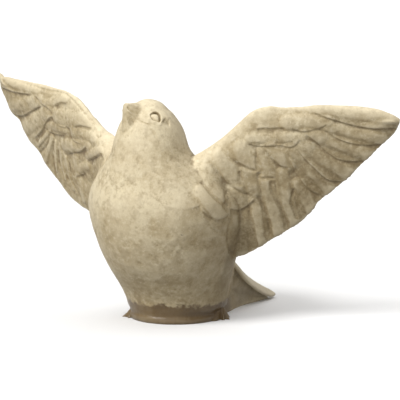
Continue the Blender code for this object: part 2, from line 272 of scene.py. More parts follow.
def arm_ring(side, u):
    """A section of the arm. The right one's lower edge is lifted towards the root."""
    lead_left, lead_right, lower, swell = read_rows(ARM_SECTIONS, u)
    lead = lead_left if side == "left" else lead_right
    if side == "right":
        lower += RIGHT_LIFT * min(max((LIFT_ENDS - u) / LIFT_FADES, 0), 1)
    behind = min(swell, ARM_BACK)

    def place(x, y):
        chord = (1 - x) / 2
        reach = (-swell if y < 0 else behind) * abs(y) ** (1.1 if y < 0 else 0.8) * (1 - 0.55 * chord)
        return wing_place(side, u, mix(lead, lower, chord), reach) * MM

    return place


root, tip = ARM_SECTIONS[0][0], ARM_SECTIONS[-1][0]
for side in SIDES:
    pull_ring(clay, [arm_ring(side, mix(root, tip, k / 44)) for k in range(45)], 40)
print("arms pulled:", len(SIDES))

# %% [markdown]
# Behind the arm the wing is one thin sheet: on a casting the flight feathers are relief on it and never
# separate blades, which would snap off. Its free edge, the hem, is nearly straight, with a small notch
# where one feather tip ends and the next begins. The sheet is a flat ring that runs from the wing's tip to
# its root, between a line inside the arm and the hem. The smoothing further down wipes a little off the
# hem, so it is made that much longer.

# %% Wing sheets
HEMS = {
    "left": (
        (294, 57), (291, 49), (285, 41), (277, 34), (268, 24), (249, 5), (227, -18),
        (202, -39), (190, -54), (177, -68), (150, -86), (118, -107), (104, -112), (97, -117),
    ),
    "right": (
        (296, 84), (299, 66), (292, 51), (283, 34), (269, 26), (265, 14), (254, 1), (236, -12),
        (227, -25), (216, -35), (200, -49), (182, -64), (162, -72), (144, -78), (110, -96),
    ),
}
BONES = {"left": ((286, 62), (176, 34), (84, -66)), "right": ((284, 72), (180, 36), (92, -50))}
SHEET_FRONT, HEM_FRONT = 7.0, 1.2
SHEET_BACK, HEM_BACK = 3.6, 2.8
HEM_WIPED = 1.5


def through(points, t):
    """A point at t on the parabola that runs through three points."""
    a, b, c = (Vector(p) for p in points)
    return a * (2 * t - 1) * (t - 1) + b * 4 * t * (1 - t) + c * t * (2 * t - 1)


def sheet_ring(side, inner, outer):
    def place(x, y):
        across = (x + 1) / 2
        spot = inner + (outer - inner) * across + (outer - inner).normalized() * (HEM_WIPED * across)
        front, back = mix(SHEET_FRONT, HEM_FRONT, across**1.4), mix(SHEET_BACK, HEM_BACK, across)
        reach = (-front if y < 0 else back) * abs(y) ** 0.6
        return wing_place(side, spot.x, spot.y, reach) * MM

    return place


for side in SIDES:
    hem = curve_through(HEMS[side], 60)
    rings = [sheet_ring(side, through(BONES[side], k / 60), Vector(hem[k])) for k in range(61)]
    pull_ring(clay, rings, 40)
print("sheets laid:", len(HEMS))

# %% [markdown]
# ## The tail
#
# The tail is a wedge of rump that slopes down to the floor and carries a fan of feathers. Its walls are
# steep, and they fill the space under the fan, because thin stone over nothing would break off. They draw in
# halfway back, so the rows below give how far back a place is and half the wedge's width there on the
# floor. Each ring is nearly a rectangle, and its sides hollow a little at half height.

# %% Rump
TAIL_START, TAIL_END, TAIL_TOP = 56.0, 162.0, 78.0
TAIL_EDGE = 9.0
TAIL_PLAN = ((30, 49), (60, 46), (80, 41.5), (93, 40), (113, 42), (131, 46.5), (150, 51), (160, 52))
RUMP_FROM, RUMP_TO, RUMP_BOTTOM = 34, 158, -9.0
RUMP_TOP_HALF, RUMP_OVER, RUMP_HOLLOW = 43.0, 2.0, 0.15


def squarer(x, power):
    """Push a circle's point outwards, so that the circle becomes a rounded square."""
    return math.copysign(abs(x) ** power, x)


def tail_height(t):
    return mix(TAIL_TOP, TAIL_EDGE, t**0.72) - TAIL_EDGE / 2


def rump_ring(back):
    top = tail_height(max((back - TAIL_START) / (TAIL_END - TAIL_START), 0.0)) + RUMP_OVER
    floor_half = read_rows(TAIL_PLAN, back)[0]

    def place(a, b):
        rise = (squarer(b, 0.25) + 1) / 2
        half = mix(floor_half, RUMP_TOP_HALF, rise) * (1 - RUMP_HOLLOW * math.sin(math.pi * rise))
        return Vector((squarer(a, 0.25) * half, back, mix(RUMP_BOTTOM, top, rise))) * MM

    return place


pull_ring(clay, [rump_ring(mix(RUMP_FROM, RUMP_TO, k / 14)) for k in range(15)], 48)
print("rump rows:", len(TAIL_PLAN))

# %% [markdown]
# Five flat feathers lie on top of the wedge, side by side. Each is a flat ring that is pulled backwards and
# rounded off at its tip. On each side a narrower one is tilted outwards and hangs over the wall a little. Its
# rows say how far back it is, how far aside, how high, and half its width.

# %% Tail feathers
TAIL_HALF = 52.0
EDGE_FEATHER = (
    (60, 40.0, 64.0, 5.0),
    (76, 41.5, 51.5, 6.2),
    (90, 42.5, 39.5, 7.2),
    (104, 43.5, 30.0, 7.8),
    (121, 44.3, 20.5, 8.0),
    (140, 45.0, 12.2, 7.4),
    (155, 45.5, 7.0, 5.8),
    (167, 44.5, 3.5, 2.0),
)
EDGE_THICK = 2.4
EDGE_FROM, EDGE_TO = 60, 166
BLADES, OUTERMOST = 5, 0.74


def blade_width(t):
    """A feather's share of its full width: growing from its root, then rounded off at its tip."""
    if t < 0.80:
        return mix(0.60, 1.0, math.sin(t / 0.80 * math.pi / 2))
    return max(1 - ((t - 0.80) / 0.205) ** 3, 0.0) ** (1 / 3)


def tail_blade_rings(place_across):
    """The rings of one feather of the fan, placed from -1 on the right of the tail to 1 on its left."""

    def middle(s):
        x = place_across * mix(0.62, 0.80, s) * TAIL_HALF
        crown = mix(7, 2, s) * (1 - place_across**2)
        y = mix(TAIL_START, TAIL_END + 9 * (1 - place_across**2), s)
        return Vector((x, y, tail_height(s) + crown))

    rings = []
    for k in range(17):
        t = k / 16
        ahead = middle(min(t + 0.05, 1.0)) - middle(max(t - 0.05, 0.0))
        normal = Vector((place_across * mix(1.1, 0.35, t), 0.3, 1.0)).normalized()
        across = ahead.cross(normal).normalized()
        rise = across.cross(ahead).normalized() * TAIL_EDGE / 2 * mix(1.0, 0.55, t)
        rise *= min(1.0, math.sqrt((1.03 - t) / 0.15))
        across *= TAIL_HALF / 3.4 * blade_width(t)
        rings.append(lambda x, y, m=middle(t), a=across, r=rise: (m + a * x + r * y) * MM)
    return rings


def edge_feather_ring(sign, back):
    aside, up, half = read_rows(EDGE_FEATHER, back)
    further = read_rows(EDGE_FEATHER, back + 1)
    ahead = Vector((sign * (further[0] - aside), 1.0, further[1] - up)).normalized()
    across = ahead.cross(Vector((sign * 0.75, 0.25, 0.6))).normalized() * sign
    rise = across.cross(ahead).normalized() * -sign * EDGE_THICK

    def place(x, y):
        return (Vector((sign * aside, back, up)) + across * (half * x) + rise * squarer(y, 0.45)) * MM

    return place


for k in range(BLADES):
    pull_ring(clay, tail_blade_rings(mix(-OUTERMOST, OUTERMOST, k / (BLADES - 1))), 16)
for sign in SIDES.values():
    pull_ring(clay, [edge_feather_ring(sign, mix(EDGE_FROM, EDGE_TO, k / 30)) for k in range(31)], 24)
print("tail feathers laid:", BLADES + len(SIDES))

# %% [markdown]
# ## The feet
#
# The feet hardly show. On each side the toes and the web between them come out from under the body like a
# small tent: ridges run from one high point down to the floor, and the web hangs between them. So a foot is
# a ring that grows as it goes down, pulled out to a point in the direction of each toe. Each foot below is
# its high point and then each toe's tip on the floor.

# %% Feet
FEET = {
    "left": ((56.5, 12.0, 18.0), ((70.5, 13.5), (66.5, 3.5), (61.5, 29.0), (57.0, -10.0))),
    "right": ((-45.0, -33.0, 9.0), ((-58.0, -37.5), (-53.0, -20.0), (-40.0, -45.0))),
}
TOE_SPREAD, WEB_REACH, TOE_BOTTOM = 0.30, 6.0, -4.0


def foot_tent(top, tips):
    toes = [(math.atan2(y - top[1], x - top[0]), math.hypot(x - top[0], y - top[1])) for x, y in tips]

    def ring(t):
        def place(x, y):
            angle = math.atan2(y, x)
            reach = WEB_REACH
            for toward, length in toes:
                turn = (angle - toward + math.pi) % (2 * math.pi) - math.pi
                reach = max(reach, length * math.exp(-((turn / TOE_SPREAD) ** 2)))
            reach *= mix(0.12, 1.05, t**1.15)
            spot = Vector((top[0] + reach * math.cos(angle), top[1] + reach * math.sin(angle), 0)) * MM
            spot.z = mix(top[2], TOE_BOTTOM, t) * MM
            return spot

        return place

    return [ring(k / 14) for k in range(15)]


for side, (top, tips) in FEET.items():
    pull_ring(clay, foot_tent(top, tips), 64)
    print(side, "foot, toes:", len(tips))

# %% [markdown]
# ## The bill
#
# The bill is a short wedge. Its upper edge runs on from the forehead, and its lower edge slopes down into a
# full throat, so that from the side only the tip stands free. It is made with the throat as one roll. Each
# row is a distance ahead of the head's middle, then the top, the bottom and the half width there.

# %% Bill and throat
BILL_SECTIONS = (
    (14.0, 17.0, -42.0, 14.0),
    (22.0, 13.5, -34.0, 12.5),
    (28.0, 10.0, -26.5, 10.2),
    (32.0, 7.2, -20.0, 8.2),
    (36.0, 4.8, -13.5, 6.2),
    (39.0, 3.2, -8.8, 4.6),
    (41.5, 2.2, -4.8, 3.0),
    (43.2, 1.0, -1.6, 1.0),
)


def bill_ring(ahead):
    top, bottom, half = read_rows(BILL_SECTIONS, ahead)

    def place(x, y):
        rise = mix(bottom, top, (y + 1) / 2)
        return (HEAD_MIDDLE + AHEAD * ahead + CHEEK * (x * half) + CROWN * rise) * MM

    return place


root, tip = BILL_SECTIONS[0][0], BILL_SECTIONS[-1][0]
pull_ring(clay, [bill_ring(mix(root, tip, k / 24)) for k in range(25)], 32)
print("bill sections:", len(BILL_SECTIONS))

# %% [markdown]
# ## Pressing the clay together
#
# All lumps run through each other now. Joining them with Booleans would leave hard seams. A sculptor wipes
# such seams away with a thumb, and the Remesh modifier in voxel mode does the same: it lays one even skin
# over everything. A Smooth modifier then takes off the voxel steps.

# %% Fuse into one skin
VOXEL = 1.05


def settle(obj):
    """Replace an object's mesh by what its modifiers make of it."""
    graph = bpy.context.evaluated_depsgraph_get()
    mesh = bpy.data.meshes.new_from_object(obj.evaluated_get(graph))
    obj.modifiers.clear()
    old = obj.data
    obj.data = mesh
    bpy.data.meshes.remove(old)


bmesh.ops.recalc_face_normals(clay, faces=clay.faces)
dove = bpy.data.objects.new("dove_carving", bpy.data.meshes.new("dove_carving"))
clay.to_mesh(dove.data)
clay.free()
bpy.context.scene.collection.objects.link(dove)
press = dove.modifiers.new("press", "REMESH")
press.mode = "VOXEL"
press.voxel_size = VOXEL * MM
wipe = dove.modifiers.new("wipe", "SMOOTH")
wipe.factor = 0.5
wipe.iterations = 4
settle(dove)
print("skin points:", len(dove.data.vertices))

# %% [markdown]
# The seam where a wing's root meets the breast needs a thumb as well, and a broader one. Most of the carving
# below also works on the skin's points, so they are read into arrays first. `smoothed` gives each point the
# mean of its neighbours, again and again. A soft mask keeps the wiping to the front of the shoulders: it ends
# 14 and 96 mm aside, and 84 and 200 mm up.

# %% Wipe the shoulders' seams
def mesh_points(mesh):
    """Points and normals of a mesh, as arrays, with the points in millimetres."""
    points = np.empty(len(mesh.vertices) * 3)
    mesh.vertices.foreach_get("co", points)
    normals = np.empty(len(mesh.vertices) * 3)
    mesh.vertex_normals.foreach_get("vector", normals)
    return points.reshape(-1, 3) / MM, normals.reshape(-1, 3)


def move_points(mesh, points):
    mesh.vertices.foreach_set("co", (points * MM).ravel())
    mesh.update()


def mesh_edges(mesh):
    edges = np.empty(len(mesh.edges) * 2, np.int32)
    mesh.edges.foreach_get("vertices", edges)
    return edges.reshape(-1, 2)


def smoothed(values, edges, rounds):
    """Each point's value, averaged with its neighbours' again and again."""
    count = len(values)
    neighbours = np.bincount(edges.ravel(), minlength=count)
    for _ in range(rounds):
        total = np.zeros_like(values)
        for axis in range(values.shape[1]):
            column = values[:, axis]
            total[:, axis] += np.bincount(edges[:, 0], weights=column[edges[:, 1]], minlength=count)
            total[:, axis] += np.bincount(edges[:, 1], weights=column[edges[:, 0]], minlength=count)
        values = (values + total) / (1 + neighbours)[:, None]
    return values


SEAM_WIPES = 240
points, normals = mesh_points(dove.data)
edges = mesh_edges(dove.data)
aside = np.abs(points[:, 0])
across = soft_step(14, 34, aside) * soft_step(96, 70, aside)
upward = soft_step(84, 104, points[:, 2]) * soft_step(200, 178, points[:, 2])
mask = across * upward * soft_step(6, -10, points[:, 1])
inside = mask[edges].min(axis=1) > 0
wiped = smoothed(points, edges[inside], SEAM_WIPES)
points += (wiped - points) * mask[:, None]
move_points(dove.data, points)
print("points wiped:", int((mask > 0.5).sum()))

# %% [markdown]
# ## Carving the feathers
#
# The feathers of a wing are low relief, so they are carved and not built: every point of the skin moves a
# little along its own normal. How far is read from the wing's drawing. A cut is a smooth line through a
# few points. A plain cut is a valley. A shingle cut is a step, where one feather lies over the next: sharp
# on the upper feather's side, and rising again slowly on the lower one's.

# %% Distance from a cut
def from_line(spots, line):
    """Each spot's distance from a line, the side that it lies on, and how far along the line it is."""
    best = np.full(len(spots), 1e9)
    side, along = np.zeros(len(spots)), np.zeros(len(spots))
    pieces = len(line) - 1
    for k in range(pieces):
        start, way = line[k], line[k + 1] - line[k]
        t = np.clip(((spots - start) @ way) / (way @ way), 0.0, 1.0)
        far = np.linalg.norm(spots - start - t[:, None] * way, axis=1)
        nearer = far < best
        best[nearer] = far[nearer]
        along[nearer] = ((k + t) / pieces)[nearer]
        if spots.shape[1] == 2:
            turn = way[0] * (spots[:, 1] - start[1]) - way[1] * (spots[:, 0] - start[0])
            side[nearer] = np.sign(turn)[nearer]
    return best, side, along


def close_to(spots, line, reach):
    """The numbers of the spots that lie in the box round a line, with some reach."""
    low, high = line.min(axis=0) - reach, line.max(axis=0) + reach
    return np.flatnonzero(np.all((spots > low) & (spots < high), axis=1))


VALLEY_WIDTH, SHINGLE_REACH, LINE_ENDS = 2.3, 8.5, 0.12
FURTHEST = 20


def cut_relief(spots, shingle, depth, points):
    """Height that one cut leaves at each spot of the drawing."""
    line = curve_through(points, 6 * (len(points) - 1))
    height = np.zeros(len(spots))
    near = close_to(spots, line, FURTHEST)
    far, side, along = from_line(spots[near], line)
    fade = soft_step(0.0, LINE_ENDS, along) * soft_step(0.0, LINE_ENDS, 1 - along)
    if shingle:
        under = -side if line[-1][0] > line[0][0] else side
        signed = far * under
        lip = 0.2 * depth * np.exp(np.minimum(signed, 0) / 3.0)
        fall = -depth * np.exp(-np.maximum(signed, 0) / SHINGLE_REACH)
        height[near] = mix(lip, fall, soft_step(-1.7, 0.9, signed)) * fade
    else:
        wide, sharp = np.exp(-((far / VALLEY_WIDTH) ** 2)), np.exp(-np.abs(far))
        height[near] = -depth * (0.7 * wide + 0.3 * sharp) * fade
    return height


valley = cut_relief(np.zeros((1, 2)), False, 2.0, ((-9, 0), (9, 0)))
print("a 2 mm valley is", round(-valley[0], 2), "mm deep")

# %% [markdown]
# Between its cuts a feather is gently rounded, like a pillow. `pillow_relief` gives that height along a
# feather's middle line, and `carve` puts all cuts and pillows of a drawing together. The cuts' depths were
# measured down their shadows, which look deeper than the clay is, so they are all taken by one share.

# %% Rounded feathers
def pillow_relief(spots, points, half_width, height):
    """Height of one rounded feather at each spot of the drawing."""
    line = curve_through(points, 8)
    relief = np.zeros(len(spots))
    near = close_to(spots, line, half_width)
    far, _, _ = from_line(spots[near], line)
    relief[near] = height * (1 - np.clip(far / half_width, 0, 1) ** 2.6)
    return relief


CUT_SHARE = 0.62


def carve(spots, cuts, pillows=()):
    """All cuts and rounded feathers of one drawing together."""
    rise, fall = np.zeros(len(spots)), np.zeros(len(spots))
    for line, half_width, height in pillows:
        rise = np.maximum(rise, pillow_relief(spots, line, half_width, height))
    for shingle, depth, points in cuts:
        relief = cut_relief(spots, shingle, depth * CUT_SHARE, points)
        fall = np.minimum(fall, relief)
        rise = np.maximum(rise, relief)
    return rise + fall


print("a pillow's middle:", pillow_relief(np.zeros((1, 2)), ((-9, 0), (9, 0)), 5.0, 1.5)[0], "mm high")

# %% [markdown]
# The cuts below follow the statue's own carving. On the front of its left wing broad primaries lie over each
# other like shingles, short feathers hang below them with plain valleys between, and rounded coverts cover
# the arm and run down over the flank. Each cut says whether it is a shingle, then how deep it is, then its
# points. Each pillow is its middle line, half its width and its height.

# %% Cuts on the front of the wings
CUTS = {
    "left": (
        (True, 3.0, ((191, 69), (211, 61), (236, 53), (259, 49), (277, 49), (294, 50))),
        (True, 2.2, ((167, 48), (180, 44), (193, 46), (205, 50), (211, 56))),
        (True, 2.6, ((205, 49), (219, 38), (236, 31), (257, 28), (280, 32))),
        (True, 2.6, ((183, 42), (196, 33), (212, 17), (232, 8), (262, 9))),
        (True, 2.6, ((170, 29), (183, 12), (196, -2), (212, -16), (234, -18))),
        (True, 2.2, ((164, 23), (168, 6), (174, -8), (182, -20), (192, -30), (210, -38))),
        (False, 2.2, ((172, -24), (168, -38), (169, -48), (176, -66))),
        (False, 2.4, ((144, -14), (145, -29), (152, -45), (159, -59), (165, -78))),
        (False, 2.4, ((127, -34), (134, -51), (140, -67), (143, -90))),
        (False, 2.4, ((116, -51), (121, -69), (123, -85), (127, -103))),
        (False, 2.2, ((97, -60), (93, -78), (92, -96), (96, -114))),
        (True, 2.0, ((127, 46), (137, 47), (147, 47), (163, 48))),
        (True, 2.2, ((114, 30), (127, 25), (152, 26), (170, 25), (181, 38))),
        (False, 1.2, ((150, 42), (153, 35), (152, 29), (153, 26))),
        (False, 2.0, ((85, 24), (98, 8), (115, -2), (128, -6))),
        (False, 1.6, ((126, 24), (127, 14), (127, 4), (129, -6))),
        (False, 1.8, ((128, -6), (131, -14), (139, -14), (151, -14))),
        (True, 2.2, ((137, 25), (146, 9), (156, 1), (166, 0))),
        (False, 2.0, ((71, 7), (83, -11), (93, -23), (109, -33), (122, -37))),
        (False, 1.1, ((108, -6), (107, -14), (109, -25))),
        (False, 1.6, ((92, -31), (89, -39), (93, -52))),
        (True, 2.6, ((94, -54), (102, -55), (109, -53), (117, -48), (126, -39))),
        (True, 2.2, ((58, -49), (62, -58), (77, -67), (87, -65), (95, -60))),
        (False, 1.6, ((61, -19), (65, -27), (74, -38), (86, -47))),
        (False, 1.4, ((67, -73), (73, -79), (81, -85))),
        (False, 1.2, ((68, -67), (80, -71), (93, -70))),
    ),
    "right": (
        (False, 1.3, ((263, 78), (225, 75), (199, 72), (163, 72), (145, 67), (112, 46), (88, 33))),
        (True, 2.8, ((302, 66), (289, 63), (273, 61), (257, 61), (227, 62))),
        (True, 2.8, ((211, 51), (233, 42), (263, 31), (285, 32))),
        (True, 2.5, ((225, 62), (217, 58), (210, 52), (193, 46), (189, 39))),
        (True, 2.0, ((183, 52), (175, 56), (165, 59), (155, 58))),
        (True, 2.8, ((189, 39), (199, 35), (213, 25), (223, 16), (246, 2))),
        (True, 2.5, ((211, 23), (200, 16), (185, 15), (170, 17))),
        (True, 2.0, ((185, 31), (177, 27), (157, 26), (157, 16), (151, 11), (131, 9))),
        (True, 2.0, ((154, 28), (133, 33), (122, 33), (108, 32))),
        (True, 2.6, ((180, -9), (155, -4), (143, -1), (133, 3), (125, 8))),
        (True, 3.0, ((134, -13), (122, -9), (112, -5), (94, 3))),
        (True, 2.0, ((162, -35), (150, -32), (139, -28))),
        (False, 2.4, ((206, 13), (212, 4), (223, -5), (242, -17))),
        (False, 2.4, ((197, 9), (204, -3), (208, -14), (209, -27), (208, -40))),
        (False, 2.0, ((192, -1), (195, -14), (195, -27), (191, -42), (192, -58))),
        (False, 2.0, ((184, -11), (186, -22), (185, -36), (177, -48), (172, -64))),
        (False, 2.0, ((172, -15), (173, -25), (174, -37), (169, -50), (152, -74))),
        (False, 1.0, ((129, -37), (122, -27), (110, -15))),
        (False, 1.2, ((86, 32), (94, 25), (100, 21))),
    ),
}
PILLOWS = {
    "left": (
        (((195, 72), (291, 62)), 8.4, 1.0),
        (((206, 52), (275, 36)), 8.1, 1.2),
        (((186, 44), (260, 16)), 9.3, 1.4),
        (((175, 31), (235, -7)), 10.4, 1.4),
        (((168, 23), (214, -28)), 10.1, 1.4),
        (((177, -22), (190, -50)), 10.1, 1.4),
        (((156, -10), (169, -66)), 9.8, 1.5),
        (((138, -16), (152, -80)), 9.3, 1.6),
        (((124, -44), (130, -94)), 8.4, 1.6),
        (((107, -58), (106, -105)), 10.4, 1.6),
        (((164, 55), (211, 57)), 10.4, 1.8),
        (((110, 22), (121, -4)), 11.8, 1.5),
        (((137, 19), (143, -13)), 10.1, 1.4),
        (((145, 25), (165, 3)), 10.1, 1.6),
        (((85, 13), (103, -23)), 10.9, 1.5),
        (((116, -5), (123, -33)), 9.3, 1.4),
        (((103, -28), (107, -53)), 11.8, 1.8),
        (((67, -6), (84, -39)), 9.3, 1.4),
        (((61, -33), (82, -61)), 10.1, 1.8),
        (((120, 35), (150, 34)), 7.1, 1.2),
        (((153, 37), (179, 36)), 8.1, 1.4),
    ),
    "right": (
        (((220, 69), (292, 74)), 6.1, 0.8),
        (((213, 57), (284, 41)), 9.2, 1.0),
        (((196, 44), (257, 18)), 11.0, 1.4),
        (((201, 21), (235, -2)), 3.7, 1.4),
        (((202, 11), (225, -21)), 4.7, 1.2),
        (((195, 6), (204, -32)), 2.7, 1.0),
        (((186, 3), (188, -40)), 2.9, 1.0),
        (((178, -13), (174, -53)), 3.7, 1.0),
        (((157, -10), (155, -63)), 6.7, 1.2),
        (((156, 65), (207, 52)), 6.1, 1.0),
        (((118, 41), (182, 39)), 11.6, 1.4),
        (((169, 24), (209, 26)), 6.7, 1.4),
        (((108, 21), (151, 24)), 9.2, 1.5),
        (((125, 9), (175, 3)), 9.2, 1.6),
        (((95, 7), (129, -4)), 6.1, 1.4),
        (((132, -17), (157, -26)), 6.7, 1.2),
    ),
}
print("cuts:", {side: len(cuts) for side, cuts in CUTS.items()})

# %% [markdown]
# To carve the front, each point is looked at along the way that the statue is mostly seen from, and its
# place on the wing's drawing is where that sight line meets the wing. So the coverts that run down over
# the flank are carved by the same drawing, though they lie well in front of the wing. Only skin that faces
# that way and lies within reach of the wing is carved.

# %% Carve the fronts
SIGHT = np.array((0.494, -0.855, 0.156))


def on_drawing(side, points, sight):
    """Where each point's sight line meets the wing's drawing, and how far behind the wing the point is."""
    out, up, back = (np.array(way) for way in wing_ways(side))
    from_shoulder = points - np.array(SHOULDER)
    behind = from_shoulder @ back
    met = from_shoulder - (behind / (sight @ back))[:, None] * sight
    return np.stack([met @ out, met @ up], axis=1), behind


FRONT_REACH = {"left": 90.0, "right": 26.0}
points, normals = mesh_points(dove.data)
for side in SIDES:
    spots, behind = on_drawing(side, points, SIGHT)
    faces_viewer = soft_step(0.05, 0.35, normals @ SIGHT)
    on_wing = (behind < 10) & (behind > -FRONT_REACH[side]) & (points[:, 0] * SIDES[side] > 20)
    chosen = np.flatnonzero(on_wing & (faces_viewer > 0))
    depth = carve(spots[chosen], CUTS[side], PILLOWS[side]) * faces_viewer[chosen]
    points[chosen] += normals[chosen] * depth[:, None]
    print(side, "wing front: deepest cut", round(-depth.min(), 2), "mm")
move_points(dove.data, points)

# %% [markdown]
# The backs can't be seen on the statue's usual side, so they are finished in keeping with the fronts: long
# flight feathers that fan out to the hem, and three rows of rounded coverts above them. These repeat, so
# loops lay them out. A covert is one shingle cut in the shape of a U, open towards the arm.

# %% Rows of feathers on the backs
FAN = {
    "left": (11, ((196, 60), (176, 22), (92, -48)), ((292, 54), (238, -8), (108, -111))),
    "right": (10, ((196, 62), (178, 24), (112, -36)), ((296, 58), (240, -8), (136, -82))),
}
COVERT_ROWS = (
    (9, ((82, 8), (136, 58), (232, 66)), 9.0, 17.0),
    (8, ((80, -10), (142, 38), (222, 50)), 9.5, 19.0),
    (7, ((84, -30), (142, 18), (204, 36)), 10.0, 22.0),
)


def back_cuts(side):
    """Cuts between the fanned feathers, then the rows of coverts, which lie over their roots."""
    count, roots, tips = FAN[side]
    for k in range(count + 1):
        t = k / count
        root, tip = through(roots, t), through(tips, t)
        bend = Vector((tip.y - root.y, root.x - tip.x)) * mix(-0.04, 0.05, t)
        yield True, 1.7, (tuple(root), tuple(root.lerp(tip, 0.5) + bend), tuple(root.lerp(tip, 1.06)))
    for rows, middles, half_width, length in COVERT_ROWS:
        for k in range(rows):
            t = k / (rows - 1)
            middle = through(middles, t)
            way = (through(tips, t) - middle).normalized()
            across = Vector((-way.y, way.x)) * half_width
            shape = ((-1.0, -0.6), (-0.86, 0.0), (-0.4, 0.42), (0.4, 0.42), (0.86, 0.0), (1.0, -0.6))
            yield True, 1.5, [tuple(middle + across * a + way * (length * b)) for a, b in shape]


points, normals = mesh_points(dove.data)
for side in SIDES:
    back = np.array(wing_ways(side)[2])
    spots, behind = on_drawing(side, points, back)
    faces_back = soft_step(0.25, 0.6, normals @ back) * soft_step(56, 72, spots[:, 0])
    chosen = np.flatnonzero((np.abs(behind) < 26) & (faces_back > 0))
    depth = carve(spots[chosen], back_cuts(side)) * faces_back[chosen]
    points[chosen] += normals[chosen] * depth[:, None]
    print(side, "wing back: points carved", len(chosen))
move_points(dove.data, points)

# %% [markdown]
# ## The tail's carving
#
# The fan is cut as it looks from above, with six valleys that run together towards the rump, by the same
# `carve` as the wings. The walls can't be laid flat like that, so their marks are lines in space: a gouge
# under the edge feather and a soft ridge above it, a skirt along the floor, a small pit near the tail's end,
# and a thin ridge where the tail leaves the body. The x of every point is taken without its sign, so one set
# of marks serves both sides.

# %% Marks in space
def space_relief(points, marks):
    """Height that marks leave. Each is a height, below 0 for a cut, then a width and its line in space."""
    relief = np.zeros(len(points))
    for height, width, path in marks:
        line = curve_through(path, 5 * (len(path) - 1))
        near = close_to(points, line, 3 * width)
        far, _, along = from_line(points[near], line)
        fade = soft_step(-0.02, 0.12, along) * soft_step(-0.02, 0.12, 1 - along)
        relief[near] += height * np.exp(-((far / width) ** 2)) * fade
    return relief


def flank(height, turn):
    """A point on the body's own skin, at a height and an angle from straight aside."""
    shift, radius = read_rows(BODY_SECTIONS, height)
    return radius * math.cos(turn), shift + radius * math.sin(turn), height


TAIL_MARKS = (
    (-1.6, 4.0, ((41, 84, 30), (43, 97, 20), (45, 112, 11), (47, 130, 4))),
    (0.6, 2.4, ((45, 68, 47), (44, 84, 32), (44, 98, 21))),
    (1.4, 3.5, ((43, 75, 1), (41, 93, 1), (43, 113, 1), (47.5, 131, 1), (52, 149, 1))),
    (-1.3, 1.3, ((46.0, 149.5, 11.5), (46.2, 151.5, 10.5))),
    (1.0, 1.3, [flank(height, math.radians(24)) for height in (66, 50, 34, 20)]),
)
VALLEYS, VALLEY_DEPTH = (-0.65, -0.39, -0.13, 0.13, 0.39, 0.65), 3.0
valleys = []
for aside in VALLEYS:
    path = [(aside * mix(0.66, 0.94, t) * TAIL_HALF, mix(TAIL_START, TAIL_END + 20, t)) for t in (0, 0.5, 1)]
    valleys.append((False, VALLEY_DEPTH, path))
points, normals = mesh_points(dove.data)
faces_up = soft_step(0.3, 0.6, normals[:, 2]) * soft_step(62, 74, points[:, 1]) * (points[:, 2] < 84)
chosen = np.flatnonzero(faces_up > 0)
depth = carve(points[chosen, :2], valleys) * faces_up[chosen]
points[chosen] += normals[chosen] * depth[:, None]
on_tail = np.flatnonzero((points[:, 1] > 10) & (points[:, 2] < 80))
mirrored = np.abs(points[on_tail] * (1, 0, 0)) + points[on_tail] * (0, 1, 1)
depth = space_relief(mirrored, TAIL_MARKS)
points[on_tail] += normals[on_tail] * depth[:, None]
move_points(dove.data, points)
print("tail: deepest cut", round(-depth.min(), 2), "mm")

# %% [markdown]
# ## The face
#
# The face is carved last and finest. The skin's faces there are first cut in four, so that there is clay
# enough for the eye's sharp rim. Bmesh does that with `subdivide_edges`. Distances on the head are measured
# ahead, aside and up from its middle, and aside without its sign, so both cheeks get the same carving.

# %% Finer skin on the head
bm = bmesh.new()
bm.from_mesh(dove.data)
face_middle = (HEAD_MIDDLE + AHEAD * 16 - CROWN * 2) * MM
near_face = [edge for edge in bm.edges if (edge.verts[0].co - face_middle).length < 33 * MM]
bmesh.ops.subdivide_edges(bm, edges=near_face, cuts=1, use_grid_fill=True)
bmesh.ops.triangulate(bm, faces=[face for face in bm.faces if len(face.verts) > 4])
bm.to_mesh(dove.data)
bm.free()
print("edges cut on the head:", len(near_face))

# %% [markdown]
# The marks below are, in turn: the bill's rolled upper edge, the hollow under it, the lip, the mouth line
# that goes on below the eye, the throat's hollow behind the lower bill, the brow, the fold under the eye,
# the hollow behind it, and a faint line down the cheek.

# %% Bill, mouth, brow and throat
FACE_MARKS = (
    (0.7, 1.8, ((41.5, 1.4, 1.4), (37.0, 3.2, 3.0), (32.0, 5.6, 4.2), (28.0, 7.4, 5.4))),
    (-1.1, 1.1, ((40.2, 3.6, -1.6), (36.8, 6.4, -3.4), (33.4, 8.4, -4.4), (29.6, 10.6, -5.2))),
    (1.1, 1.1, ((39.0, 4.4, -5.4), (34.4, 8.0, -6.8), (28.4, 12.0, -8.2), (24.8, 17.6, -9.2))),
    (-1.0, 1.0, ((31, 10.4, -9.4), (27.6, 13.6, -10.8), (24.2, 18.6, -11.4), (20.6, 24.2, -11.4),
                 (17.6, 27.2, -11.2))),
    (-0.9, 5.4, ((30.6, 6.0, -18.0), (29.4, 8.6, -15.6), (28.4, 10.8, -13.8))),
    (0.9, 3.0, ((22, 15, 4.4), (15.6, 19.8, 10.6), (9, 24.6, 12), (2.6, 29.2, 9.6), (-2.4, 31.6, 6.6))),
    (0.6, 1.2, ((20.6, 22.4, -3.4), (17.2, 27.2, -6.2), (10.8, 32.2, -7.0), (5.8, 33.6, -3.8))),
    (-1.6, 3.6, ((5.8, 32.0, 2.6), (2.0, 34.0, 1.2), (-3.5, 34.2, 2.2))),
    (-0.4, 1.6, ((15.4, 29.6, -15.3), (10.8, 33.5, -18.2), (7.4, 36.0, -20.4))),
)


def on_head(points):
    """Millimetres ahead, aside and up from the head's middle."""
    away = points - np.array(HEAD_MIDDLE)
    return np.stack([away @ np.array(AHEAD), np.abs(away @ np.array(CHEEK)), away @ np.array(CROWN)], axis=1)


